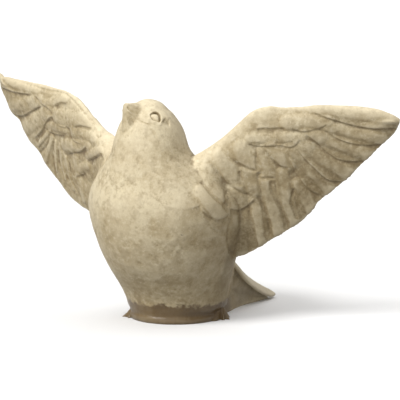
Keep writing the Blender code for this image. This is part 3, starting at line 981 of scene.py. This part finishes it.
points, normals = mesh_points(dove.data)
head_spots = on_head(points)
head = np.flatnonzero((points[:, 2] > 205) & (points[:, 1] < -30) & (head_spots[:, 1] < 45))
depth = space_relief(head_spots[head], FACE_MARKS)
points[head] += normals[head] * depth[:, None]
move_points(dove.data, points)
print("face: deepest cut", round(-depth.min(), 2), "mm")

# %% [markdown]
# The eye is a ball in a socket with rather straight sides. It is drawn on the cheek as seen square on: the
# corners are given, and an angle and a distance from the middle tell whether a point is inside. The cut is
# deepest under the brow and behind the ball, where the shadow is.

# %% Eyes
EYE = np.array((13.8, 26.4, 1.4))
EYE_OUT = np.array((0.588, 0.711, 0.387))
EYE_FORWARD = np.array((0.809, -0.517, -0.281))
EYE_UP = np.array((0.0, -0.478, 0.879))
EYE_CORNERS = ((4.4, 4.6), (-2.1, 6.8), (-6.6, 0.5), (-5.6, -6.4), (-1.3, -5.9), (4.9, -1.8), (6.3, 2.1))
EYE_DEPTH = 1.8

turns = np.array([math.atan2(up, forward) for forward, up in EYE_CORNERS])
reaches = np.array([math.hypot(up, forward) for forward, up in EYE_CORNERS])
order = np.argsort(turns)


def eye_groove(points):
    """Which points lie round an eye, how far inside its rim they are, and how shaded that side is."""
    from_eye = on_head(points) - EYE
    forward, up, out = from_eye @ EYE_FORWARD, from_eye @ EYE_UP, from_eye @ EYE_OUT
    near = np.flatnonzero((np.hypot(forward, up) < 14) & (np.abs(out) < 9))
    forward, up = forward[near], up[near]
    reach = np.interp(np.arctan2(up, forward), turns[order], reaches[order], period=2 * math.pi)
    return near, reach - np.hypot(forward, up), np.clip((0.8 * up - 1.0 * forward) / 7, -0.2, 1)


points, normals = mesh_points(dove.data)
near_eye, inside, shaded = eye_groove(points)
ball = mix(1.0, 0.12, soft_step(0.7, 4.6, inside))
depth = -EYE_DEPTH * (1 + 0.9 * shaded) * ball * soft_step(-0.5, 0.5, inside)
depth += 0.3 * np.exp(-(((inside + 1.3) / 1.0) ** 2))
points[near_eye] += normals[near_eye] * depth[:, None]
move_points(dove.data, points)
print("eye: points", len(near_eye), "deepest", round(-depth.min(), 2), "mm")

# %% [markdown]
# ## A hand-made skin
#
# Nothing modelled by hand and cast is quite even. Blender's `mathutils.noise` gives the same soft noise on
# every run, and it moves each point by a few tenths of a millimetre: broad waves from the hand, and smaller
# ones from the mould.

# %% Uneven skin
WAVES = ((24.0, 0.55), (9.0, 0.28), (3.6, 0.12))
points, normals = mesh_points(dove.data)
uneven = np.zeros(len(points))
for size, height in WAVES:
    uneven += [height * noise.noise(Vector(point) / size) for point in points]
above_floor = soft_step(1.0, 9.0, points[:, 2])
points += normals * (uneven * above_floor)[:, None]
move_points(dove.data, points)
print("skin moved by up to", round(float(np.abs(uneven).max()), 2), "mm")

# %% [markdown]
# ## Sawing the underside flat
#
# The casting stands on a true face, so everything below the floor is cut away and the hole is closed.

# %% Cut and close the underside
bm = bmesh.new()
bm.from_mesh(dove.data)
everything = bm.verts[:] + bm.edges[:] + bm.faces[:]
cut = bmesh.ops.bisect_plane(bm, geom=everything, plane_co=(0, 0, 0), plane_no=(0, 0, -1), clear_outer=True)
rim = [item for item in cut["geom_cut"] if isinstance(item, bmesh.types.BMEdge)]
bmesh.ops.edgenet_fill(bm, edges=rim)
bmesh.ops.recalc_face_normals(bm, faces=bm.faces)
bm.to_mesh(dove.data)
bm.free()
print("faces after the cut:", len(dove.data.polygons))

# %% [markdown]
# The voxels laid equally small faces everywhere. A Decimate modifier joins those that lie flat and keeps
# them small in the carving. That is the last change of shape, so the piece now takes the solid's place: it
# rides on the frame's one body and replaces the solid named dove.

# %% Fewer faces where the skin is plain
MOST_TRIANGLES = 190000
dove.data.calc_loop_triangles()
thin = dove.modifiers.new("thin", "DECIMATE")
thin.ratio = min(1.0, MOST_TRIANGLES / len(dove.data.loop_triangles))
settle(dove)
dove.data.shade_smooth()
dove.data.calc_loop_triangles()
print("triangles:", len(dove.data.loop_triangles))

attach(dove, "root")
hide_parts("dove")

# %% [markdown]
# ## Where dirt and painted shade gather
#
# Rain leaves dirt in the hollows of a statue and hands rub its edges clean, and the stone below also paints
# shade into the hollows and a highlight on the edges. To know which is which, the skin's points are smoothed:
# where the smooth skin lies above the true one there is a hollow, and where it lies below there is an edge. A
# few rounds of smoothing find the fine cuts, and many find the wide ones. The result is kept on the mesh as
# the attribute `hollow`, from -1 on an edge to 1 in a cut, for the stone below.

# %% Hollows and edges
FINE_ROUNDS, FINE_DEEP = 6, 0.8
WIDE_ROUNDS, WIDE_DEEP = 40, 2.0
points, normals = mesh_points(dove.data)
edges = mesh_edges(dove.data)
fine_sink = np.einsum("ij,ij->i", smoothed(points, edges, FINE_ROUNDS) - points, normals)
wide_sink = np.einsum("ij,ij->i", smoothed(points, edges, WIDE_ROUNDS) - points, normals)
hollow = smoothed((fine_sink / FINE_DEEP + wide_sink / WIDE_DEEP)[:, None], edges, 1)[:, 0]
hollow[points[:, 2] < 0.5] = 0
layer = dove.data.attributes.new("hollow", "FLOAT", "POINT")
layer.data.foreach_set("value", np.clip(hollow, -1, 1))
print("points in hollows:", int((hollow > 0.3).sum()), "on edges:", int((hollow < -0.3).sum()))

# %% [markdown]
# Grime and painted shade also go where no hollow explains them. Along the hems of the wings, where rain drips
# off, grime and painted shade hang together, and on the left wing they spread far up from the hem. Painted
# shadow lies under the rims of the eyes, darkest on their shaded side, and painted shade lies in the cuts of
# the face. This share, from 0 to 1, is kept on the mesh as the attribute made below.

# %% Grime and painted shade on the hems, painted shadow round the eyes and in the face
# Shares of grime and painted shade at the hems, and of painted shade in the face's cuts.
HEM_GRIME_AND_SHADE, HEM_EDGE_GRIME_AND_SHADE = {"left": 1.15, "right": 0.05}, {"left": 0.80, "right": 0.30}
HEM_SPREAD, EDGE_SPREAD = 54, 11
FACE_PAINTED_SHADE = 0.32
grime_and_painted_shade = np.zeros(len(points))
# Grime and painted shade along the wings' hems.
for side in SIDES:
    spots, behind = on_drawing(side, points, SIGHT)
    from_hem, _, _ = from_line(spots, curve_through(HEMS[side], 60))
    on_wing = soft_step(20, 10, np.abs(behind)) * soft_step(50, 70, points[:, 0] * SIDES[side])
    broad_share = mix(0.12, HEM_GRIME_AND_SHADE[side], soft_step(265, 190, spots[:, 0]))
    hem_grime_and_shade = broad_share * np.exp(-((from_hem / HEM_SPREAD) ** 2))
    hem_grime_and_shade += HEM_EDGE_GRIME_AND_SHADE[side] * np.exp(-((from_hem / EDGE_SPREAD) ** 2))
    grime_and_painted_shade = np.maximum(grime_and_painted_shade, hem_grime_and_shade * on_wing)
near_eye, inside, shaded = eye_groove(points)
# Painted shadow round the eyes' rims, strongest on their shaded side.
rim = np.exp(-(((inside - 0.9) / 1.0) ** 2)) * mix(0.4, 1.0, soft_step(-0.1, 0.5, shaded))
grime_and_painted_shade[near_eye] = np.maximum(grime_and_painted_shade[near_eye], rim)
# Painted shade in the cuts of the face.
head = np.flatnonzero((points[:, 2] > 205) & (points[:, 1] < -30))
face_cuts = -space_relief(on_head(points[head]), [mark for mark in FACE_MARKS if mark[0] < 0])
grime_and_painted_shade[head] = np.maximum(grime_and_painted_shade[head], FACE_PAINTED_SHADE * face_cuts)
layer = dove.data.attributes.new("grime_and_painted_shade", "FLOAT", "POINT")
layer.data.foreach_set("value", np.clip(grime_and_painted_shade, 0, 1))
print("points soiled:", int((grime_and_painted_shade > 0.3).sum()))

# %% [markdown]
# ## The stone
#
# Cast stone is pale cement and sand. This one is cream where it is clean, browner where it is not, and full
# of small spots and pits, and painted shade, highlight and sheen are laid into its colour too, so its
# material is built from nodes. The helpers below keep that short. A socket takes a plain value or another
# node's output, and `coat` lays a paint over what is there already.

# %% Node helpers
stone = bpy.data.materials.new("weathered_cast_stone_and_painted_light")
stone.use_nodes = True
tree = stone.node_tree


def plug(socket, value):
    """Give a socket another node's output, or else a plain value."""
    if isinstance(value, bpy.types.NodeSocket):
        tree.links.new(value, socket)
    else:
        socket.default_value = value


def add_node(kind, settings=None, **sockets):
    """Add a node and fill the sockets that are named, with _ for a space."""
    made = tree.nodes.new(kind)
    for name, value in (settings or {}).items():
        setattr(made, name, value)
    for name, value in sockets.items():
        plug(made.inputs[name.replace("_", " ")], value)
    return made


def ramp(value, low, high, to_low=0.0, to_high=1.0):
    """A soft ramp between two results while a value goes from low to high."""
    ends = {"From_Min": low, "From_Max": high, "To_Min": to_low, "To_Max": to_high}
    made = add_node("ShaderNodeMapRange", {"interpolation_type": "SMOOTHSTEP"}, Value=value, **ends)
    return made.outputs["Result"]


def reckon(kind, a, b):
    made = add_node("ShaderNodeMath", {"operation": kind})
    for socket, value in zip(made.inputs, (a, b)):
        plug(socket, value)
    return made.outputs[0]


def coat(under, paint, share, *masks):
    """Lay a share of a paint over a colour, only where every mask lets it through."""
    for mask in masks:
        share = reckon("MULTIPLY", mask, share)
    made = add_node("ShaderNodeMix", {"data_type": "RGBA"})
    for socket, value in zip((made.inputs[0], made.inputs[6], made.inputs[7]), (share, under, paint)):
        plug(socket, (*value, 1.0) if isinstance(value, tuple) else value)
    return made.outputs[2]


print("nodes so far:", len(tree.nodes))

# %% [markdown]
# Where a paint goes is read from the statue itself: how high and how far back a place is, how much it faces
# up or away from the main lamp, and the two attributes from above. Noise of several sizes breaks all of that
# up. It is read at Object coordinates, so the pattern is fixed to the statue.

# %% Masks and clouds
# The way that faces away from the main lamp, where shade is painted in.
SIDE_AWAY_FROM_LAMP = (0.87, 0.50, 0.0)

where = add_node("ShaderNodeTexCoord").outputs["Object"]
facing = add_node("ShaderNodeNewGeometry").outputs["Normal"]
behind, height = (add_node("ShaderNodeSeparateXYZ", Vector=where).outputs[way] for way in "YZ")
upward = add_node("ShaderNodeSeparateXYZ", Vector=facing).outputs["Z"]
in_hollow = add_node("ShaderNodeAttribute", {"attribute_name": "hollow"}).outputs["Fac"]
grime_and_shade_share = add_node("ShaderNodeAttribute", {"attribute_name": "grime_and_painted_shade"}).outputs["Fac"]
away_from_lamp = add_node("ShaderNodeVectorMath", {"operation": "DOT_PRODUCT"})
plug(away_from_lamp.inputs[0], facing)
plug(away_from_lamp.inputs[1], SIDE_AWAY_FROM_LAMP)


def cloud(size, detail=3.0, roughness=0.6):
    """Noise with features of a size in millimetres."""
    scale = 1000.0 / size
    made = add_node("ShaderNodeTexNoise", Vector=where, Scale=scale, Detail=detail, Roughness=roughness)
    return made.outputs["Fac"]


broad, blotch = (cloud(size) for size in (40.0, 12.0))
mottle, grain = (cloud(size, detail=6.0, roughness=0.8) for size in (6.0, 2.2))
print("nodes so far:", len(tree.nodes))

# %% [markdown]
# The coats go on as a painter would lay them: pale clouds and brown blotches over a middle tone, pale dust
# and a painted highlight on what faces up and painted shade in brown on what faces down, then mottle and
# grain.
# The side turned away from the main lamp gets painted shade in brown and stippled dirt, less of it high up.
# Last come the grime and painted shade on hems, eyes and face, and the dirt and painted shade in the hollows.

# %% Coats of colour
# The brown paints blotches and painted shade, the dust pale dust, a painted highlight and the tail's painted
# sheen, the dirt dirt and painted shade, and the grime grime and painted shade.
MIDDLE = (0.47, 0.375, 0.215)
CREAM = (0.64, 0.545, 0.355)
BROWN_AND_SHADE = (0.27, 0.198, 0.098)
DUST_AND_SHEEN = (0.74, 0.66, 0.48)
DIRT_AND_SHADE = (0.150, 0.102, 0.046)
GRIME_AND_SHADE = (0.185, 0.135, 0.062)

colour = coat(MIDDLE, CREAM, ramp(broad, 0.38, 0.66))
colour = coat(colour, BROWN_AND_SHADE, 0.50, ramp(blotch, 0.50, 0.66))
# Pale dust, and a painted highlight, on what faces up.
colour = coat(colour, DUST_AND_SHEEN, 0.40, ramp(upward, -0.3, 1.0))
# Painted shade in brown on what faces down.
colour = coat(colour, BROWN_AND_SHADE, 0.45, ramp(upward, 0.3, -0.8))
colour = coat(colour, BROWN_AND_SHADE, 0.36, ramp(mottle, 0.50, 0.62))
colour = coat(colour, BROWN_AND_SHADE, 0.38, ramp(grain, 0.54, 0.64))
colour = coat(colour, DUST_AND_SHEEN, 0.40, ramp(mottle, 0.48, 0.38))
# Painted shade in brown on the side turned away from the main lamp, less of it high up.
painted_shade_side = ramp(away_from_lamp.outputs["Value"], 0.02, 0.85)
painted_shade_side = reckon("MULTIPLY", painted_shade_side, ramp(height, 0.175, 0.215, 1.0, 0.55))
colour = coat(colour, BROWN_AND_SHADE, 0.52, painted_shade_side)
# Stippled dirt within that painted shade.
colour = coat(colour, DIRT_AND_SHADE, 0.50, painted_shade_side, ramp(grain, 0.55, 0.60))
# Grime and painted shade on the hems, painted shadow round the eyes and in the face's cuts.
colour = coat(colour, GRIME_AND_SHADE, 0.88, grime_and_shade_share, ramp(mottle, 0.42, 0.58, 0.72, 1.0))
# Dirt and painted shade in the hollows.
colour = coat(colour, DIRT_AND_SHADE, 0.62, ramp(in_hollow, 0.12, 1.0), ramp(blotch, 0.35, 0.60, 0.35, 1.0))
print("nodes so far:", len(tree.nodes))

# %% [markdown]
# Round the foot the stone is damp and dark, up to an uneven edge that noise draws. The tail's upward faces
# get a paler painted sheen, and edges are rubbed pale with a painted highlight, though hardly in the damp.
# The heights here are in metres, because Object coordinates are.

# %% Damp foot, painted sheen on the tail, rubbed edges and painted highlight
DAMP = (0.092, 0.050, 0.011)
# Pale of rubbed edges and of a painted highlight.
RUBBED_AND_HIGHLIGHT = (0.68, 0.59, 0.41)

edge = reckon("MULTIPLY", cloud(22.0, detail=5.0, roughness=0.7), 0.034)
wet = ramp(reckon("SUBTRACT", height, edge), 0.0085, 0.0030)
wet = reckon("MULTIPLY", wet, ramp(behind, 0.075, 0.050, 0.25, 1.0))
colour = coat(colour, DAMP, ramp(broad, 0.35, 0.60, 0.80, 0.93), wet)
tail = reckon("MULTIPLY", ramp(behind, 0.045, 0.110), ramp(height, 0.082, 0.070))
# Painted sheen: the tail's upward faces are painted paler.
colour = coat(colour, DUST_AND_SHEEN, 0.58, tail, ramp(upward, 0.15, 0.65, 0.30, 1.0))
# Edges rubbed pale, with a painted highlight, hardly in the damp.
colour = coat(colour, RUBBED_AND_HIGHLIGHT, ramp(in_hollow, -0.15, -0.9), ramp(wet, 0.0, 1.0, 0.45, 0.06))
print("nodes so far:", len(tree.nodes))

# %% [markdown]
# Dry cast stone is dull. Damp makes it smoother, so the band shines a little, and the tail shines a little
# too. A Bump node gives the skin its pits, which are too small to model.

# %% Shine and pits
DULL, DAMP_SHINE, TAIL_SHINE = 0.64, 0.32, 0.25
PIT_DEPTH = 0.0006

shader = tree.nodes["Principled BSDF"]
plug(shader.inputs["Base Color"], colour)
shine = reckon("MAXIMUM", reckon("MULTIPLY", wet, DAMP_SHINE), reckon("MULTIPLY", tail, TAIL_SHINE))
plug(shader.inputs["Roughness"], reckon("SUBTRACT", DULL, shine))
pits = ramp(cloud(2.4, detail=4.0, roughness=0.7), 0.30, 0.46)
rough = reckon("ADD", pits, reckon("MULTIPLY", grain, 0.5))
bump = add_node("ShaderNodeBump", Strength=0.45, Distance=PIT_DEPTH, Height=rough)
plug(shader.inputs["Normal"], bump.outputs["Normal"])
dove.data.materials.clear()
dove.data.materials.append(stone)
print("stone nodes:", len(tree.nodes))

# %% [markdown]
# ## Camera and floor
#
# The photograph shows the statue from its left front and a little above. A long lens far away keeps both
# wings nearly true to size.

# %% Camera
CAMERA_TURN, CAMERA_FAR = math.radians(30.0), 3600.0
to_camera = Vector(SIGHT).normalized()
to_right = Vector((math.cos(CAMERA_TURN), math.sin(CAMERA_TURN), 0.0))
AIM = Vector((25.8, 14.1, 141.7))

camera = bpy.data.objects.new("camera", bpy.data.cameras.new("camera"))
bpy.context.scene.collection.objects.link(camera)
camera.data.lens = 270.0
camera.data.sensor_width = 36.0
camera.data.clip_end = 60.0
camera.location = (AIM + to_camera * CAMERA_FAR) * MM
camera.rotation_euler = to_camera.to_track_quat("Z", "Y").to_euler()
bpy.context.scene.camera = camera
print("camera at", [round(c, 2) for c in camera.location], "m")

# %% [markdown]
# The floor is one plain pale square that is far larger than the picture, so its edge never shows. It takes
# the statue's soft shadow, but it throws no light back up.

# %% Floor
FLOOR_HALF = 14.0
floor_mesh = bmesh.new()
bmesh.ops.create_grid(floor_mesh, x_segments=1, y_segments=1, size=FLOOR_HALF)
floor = bpy.data.objects.new("floor", bpy.data.meshes.new("floor"))
floor_mesh.to_mesh(floor.data)
floor_mesh.free()
bpy.context.scene.collection.objects.link(floor)
pale = bpy.data.materials.new("pale_floor")
pale.use_nodes = True
pale.node_tree.nodes["Principled BSDF"].inputs["Base Color"].default_value = (0.82, 0.82, 0.82, 1.0)
pale.node_tree.nodes["Principled BSDF"].inputs["Roughness"].default_value = 1.0
floor.data.materials.append(pale)
floor.visible_diffuse = False
print("floor:", [round(d, 1) for d in floor.dimensions], "m")

# %% [markdown]
# ## Light
#
# The photograph's light comes from high on the viewer's left. It grazes the wing on the right, which is what
# makes its feathers show, and falls full on the wing on the left. A sun lamp with a wide angle is a soft
# light that is the same everywhere, so the floor stays even. Three weaker ones stand for the room behind the
# camera, the ceiling, and a window high on the far right, and the world fills the shadows.

# %% Studio light
def soft_sun(name, way, strength, angle):
    lamp = bpy.data.objects.new(name, bpy.data.lights.new(name, "SUN"))
    lamp.data.energy = strength
    lamp.data.angle = math.radians(angle)
    lamp.location = AIM * MM + Vector(way).normalized() * 2.0
    lamp.rotation_euler = Vector(way).to_track_quat("Z", "Y").to_euler()
    bpy.context.scene.collection.objects.link(lamp)


up_in_view = to_camera.cross(to_right)
soft_sun("window_light", to_camera * 0.58 - to_right * 0.54 + up_in_view * 0.61, 2.6, 25.0)
soft_sun("room_light", to_camera * 0.90 - to_right * 0.15 + up_in_view * 0.10, 0.80, 90.0)
soft_sun("ceiling_light", (0.0, -0.1, 1.0), 1.15, 80.0)
soft_sun("far_window_light", to_right * 0.50 + up_in_view * 0.80 - to_camera * 0.35, 0.6, 60.0)
world = bpy.data.worlds.new("studio")
bpy.context.scene.world = world
world.use_nodes = True
world.node_tree.nodes["Background"].inputs["Color"].default_value = (1.0, 0.98, 0.95, 1.0)
world.node_tree.nodes["Background"].inputs["Strength"].default_value = 0.30
bpy.context.scene.view_settings.view_transform = "Standard"
print("lamps:", len(bpy.data.lights))
